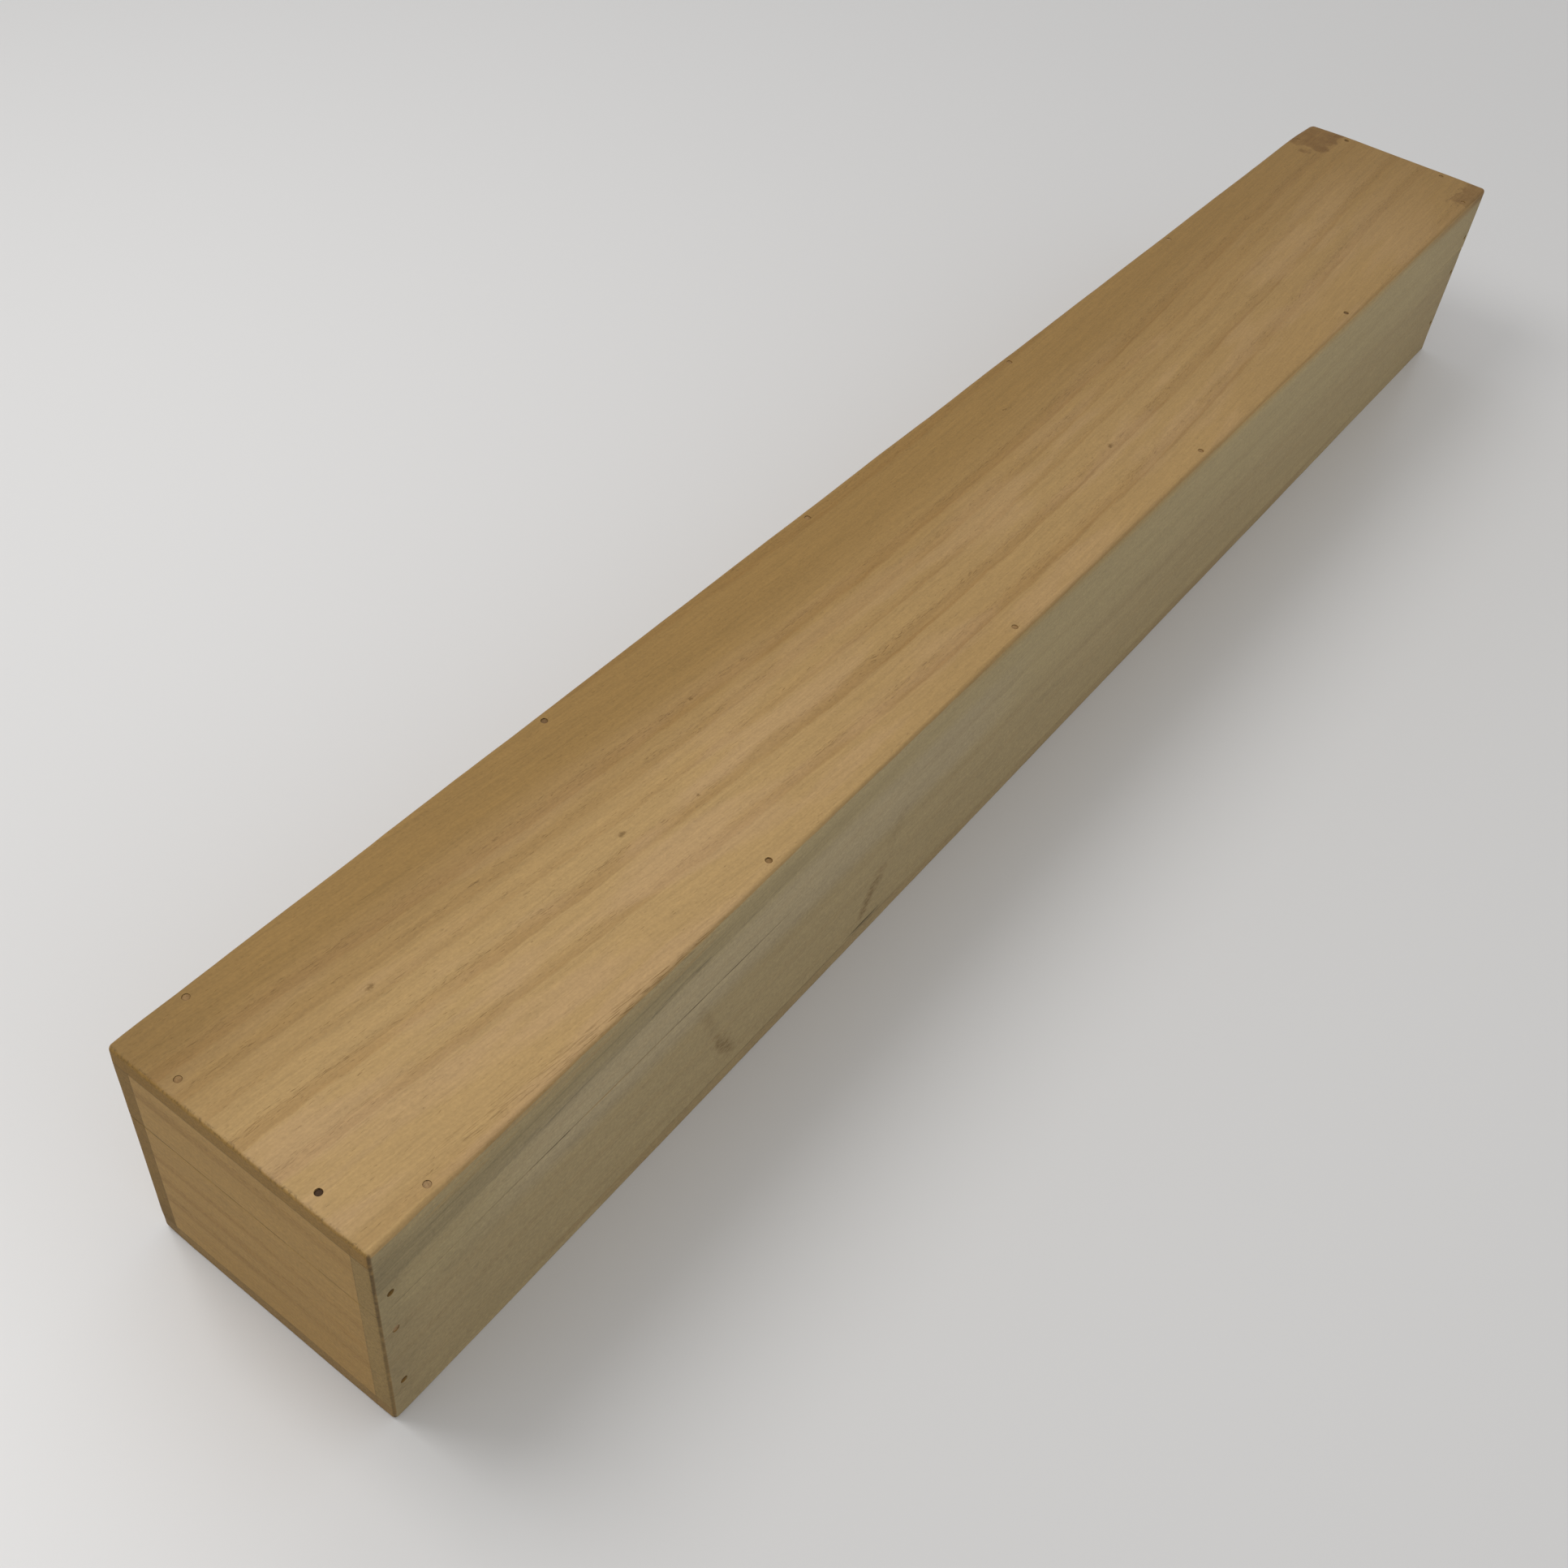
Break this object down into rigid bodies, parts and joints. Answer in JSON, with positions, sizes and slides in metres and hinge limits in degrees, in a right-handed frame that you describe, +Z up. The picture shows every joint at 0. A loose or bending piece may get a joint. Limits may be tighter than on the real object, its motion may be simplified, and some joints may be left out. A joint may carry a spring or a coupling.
{
  "type": "hanging scroll box",
  "caption": "Long square-ended pegged paulownia case with a lift-off lid, an inner locating lip and notched rests, for storing one rolled hanging scroll.",
  "frame": {"origin": "centre of the underside of the closed box", "axes": "+X along the box towards its right end, +Y from front to rear, +Z up out of the lid"},
  "size_m": [0.645, 0.082, 0.078],
  "materials": {
    "case_wood": "planed unvarnished paulownia, mellowed to warm tan",
    "lip_wood": "planed unvarnished paulownia, paler where the box keeps the light off",
    "peg_wood": "hard wooden peg, planed off at the surface, darkened"
  },
  "bodies": {
    "base": {"base_bottom_board": "case_wood", "base_front_side": "case_wood", "base_rear_side": "case_wood", "base_left_end": "case_wood", "base_right_end": "case_wood", "base_lip_front": "lip_wood", "base_lip_rear": "lip_wood", "base_lip_left": "lip_wood", "base_lip_right": "lip_wood", "left_roller_rest": "lip_wood", "right_roller_rest": "lip_wood", "base_left_front_upper_peg": "peg_wood", "base_left_rear_upper_peg": "peg_wood", "base_right_front_upper_peg": "peg_wood", "base_right_rear_upper_peg": "peg_wood", "base_left_front_lower_peg": "peg_wood", "base_left_rear_lower_peg": "peg_wood", "base_right_front_lower_peg": "peg_wood", "base_right_rear_lower_peg": "peg_wood", "base_bottom_board_peg_front_1": "peg_wood", "base_bottom_board_peg_front_2": "peg_wood", "base_bottom_board_peg_front_3": "peg_wood", "base_bottom_board_peg_front_4": "peg_wood", "base_bottom_board_peg_front_5": "peg_wood", "base_bottom_board_peg_front_6": "peg_wood", "base_bottom_board_peg_rear_1": "peg_wood", "base_bottom_board_peg_rear_2": "peg_wood", "base_bottom_board_peg_rear_3": "peg_wood", "base_bottom_board_peg_rear_4": "peg_wood", "base_bottom_board_peg_rear_5": "peg_wood", "base_bottom_board_peg_rear_6": "peg_wood", "base_bottom_board_peg_left_front": "peg_wood", "base_bottom_board_peg_left_rear": "peg_wood", "base_bottom_board_peg_right_front": "peg_wood", "base_bottom_board_peg_right_rear": "peg_wood"},
    "lid": {"lid_top_board": "case_wood", "lid_front_side": "case_wood", "lid_rear_side": "case_wood", "lid_left_end": "case_wood", "lid_right_end": "case_wood", "lid_top_board_peg_front_1": "peg_wood", "lid_top_board_peg_front_2": "peg_wood", "lid_top_board_peg_front_3": "peg_wood", "lid_top_board_peg_front_4": "peg_wood", "lid_top_board_peg_front_5": "peg_wood", "lid_top_board_peg_front_6": "peg_wood", "lid_top_board_peg_rear_1": "peg_wood", "lid_top_board_peg_rear_2": "peg_wood", "lid_top_board_peg_rear_3": "peg_wood", "lid_top_board_peg_rear_4": "peg_wood", "lid_top_board_peg_rear_5": "peg_wood", "lid_top_board_peg_rear_6": "peg_wood", "lid_top_board_peg_left_front": "peg_wood", "lid_top_board_peg_left_rear": "peg_wood", "lid_top_board_peg_right_front": "peg_wood", "lid_top_board_peg_right_rear": "peg_wood", "lid_left_front_peg": "peg_wood", "lid_left_rear_peg": "peg_wood", "lid_right_front_peg": "peg_wood", "lid_right_rear_peg": "peg_wood"}
  },
  "joints": [
    {"name": "lid_lift", "type": "slide", "parent": "base", "child": "lid", "axis": [0, 0, 1], "range_m": [0, 0.15]}
  ]
}
